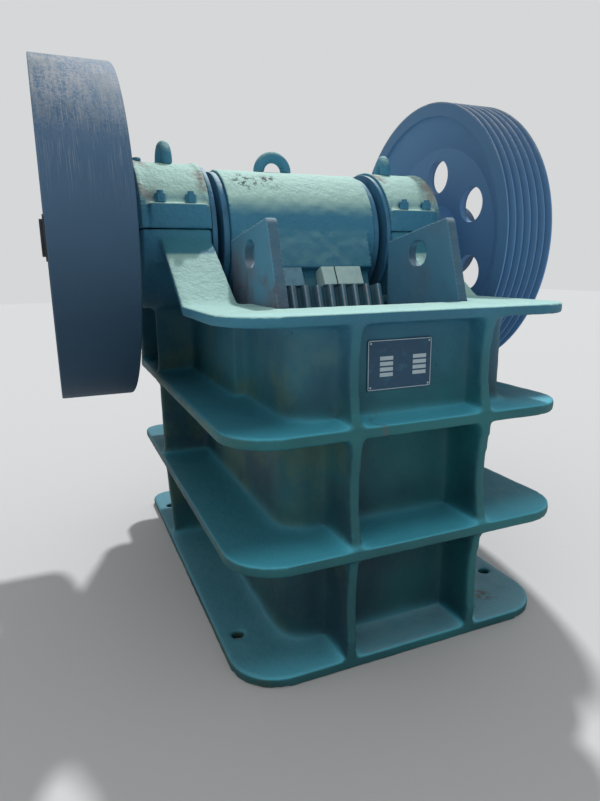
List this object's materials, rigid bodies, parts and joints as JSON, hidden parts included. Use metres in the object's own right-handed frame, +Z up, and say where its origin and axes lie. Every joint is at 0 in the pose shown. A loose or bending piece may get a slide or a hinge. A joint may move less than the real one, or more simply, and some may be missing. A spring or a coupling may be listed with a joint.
{
  "type": "jaw crusher",
  "caption": "Stone crusher with a swinging jaw in a ribbed cast frame, driven by a shaft with a plain flywheel and a grooved sheave.",
  "frame": {"origin": "on the floor at the centre of the four foundation bolts", "axes": "+X along the shaft towards the sheave, -Y towards the feed side, +Z up"},
  "size_m": [1.348, 1.268, 1.334],
  "materials": {
    "painted_casting": "green paint on rough sand-cast iron, dusty and worn",
    "bare_steel": "bare turned steel, oily",
    "dark_cover": "dark blue-black paint",
    "cheek_steel": "dull blue-grey cast plate with thin rust",
    "manganese_steel": "dark cast manganese steel, worn pale on the tips, rusty in the valleys",
    "dark_steel": "dark dull steel",
    "wheel_iron": "turned cast iron with blue-black paint, scuffed and dusty"
  },
  "bodies": {
    "frame": {"frame_front_wall": "painted_casting", "frame_left_side": "painted_casting", "frame_right_side": "painted_casting", "frame_rear_wall": "painted_casting", "left_bearing_cap": "painted_casting", "right_bearing_cap": "painted_casting", "left_cap_bolts": "painted_casting", "right_cap_bolts": "painted_casting", "left_cap_lifting_loop": "painted_casting", "right_cap_lifting_loop": "painted_casting", "left_main_bearing": "bare_steel", "right_main_bearing": "bare_steel", "left_inner_seal_cover": "dark_cover", "right_inner_seal_cover": "dark_cover", "left_outer_seal_cover": "dark_cover", "right_outer_seal_cover": "dark_cover", "left_upper_cheek_plate": "cheek_steel", "right_upper_cheek_plate": "cheek_steel", "left_lower_cheek_plate": "cheek_steel", "right_lower_cheek_plate": "cheek_steel", "fixed_jaw_plate": "manganese_steel", "fixed_jaw_clamp": "painted_casting", "toggle_plate": "dark_steel", "toggle_block": "painted_casting", "adjusting_shims": "bare_steel", "tension_rod": "dark_steel", "tension_spring": "dark_steel", "tension_rod_washers": "bare_steel", "tension_rod_nuts": "bare_steel"},
    "swing_jaw": {"swing_jaw": "painted_casting", "swing_jaw_plate": "manganese_steel", "swing_jaw_wedges": "painted_casting", "head_lifting_loop": "painted_casting", "left_head_ring": "dark_cover", "right_head_ring": "dark_cover"},
    "rotor": {"eccentric_shaft": "bare_steel", "flywheel": "wheel_iron", "sheave": "wheel_iron", "shaft_end_plates": "bare_steel"}
  },
  "joints": [
    {"name": "shaft_spin", "type": "hinge", "parent": "frame", "child": "rotor", "pos_m": [0, 0.175, 0.913], "axis": [1, 0, 0], "continuous": true},
    {"name": "jaw_swing", "type": "hinge", "parent": "frame", "child": "swing_jaw", "pos_m": [0, 0.175, 0.913], "axis": [1, 0, 0], "range_deg": [-0.5, 0.5]}
  ]
}
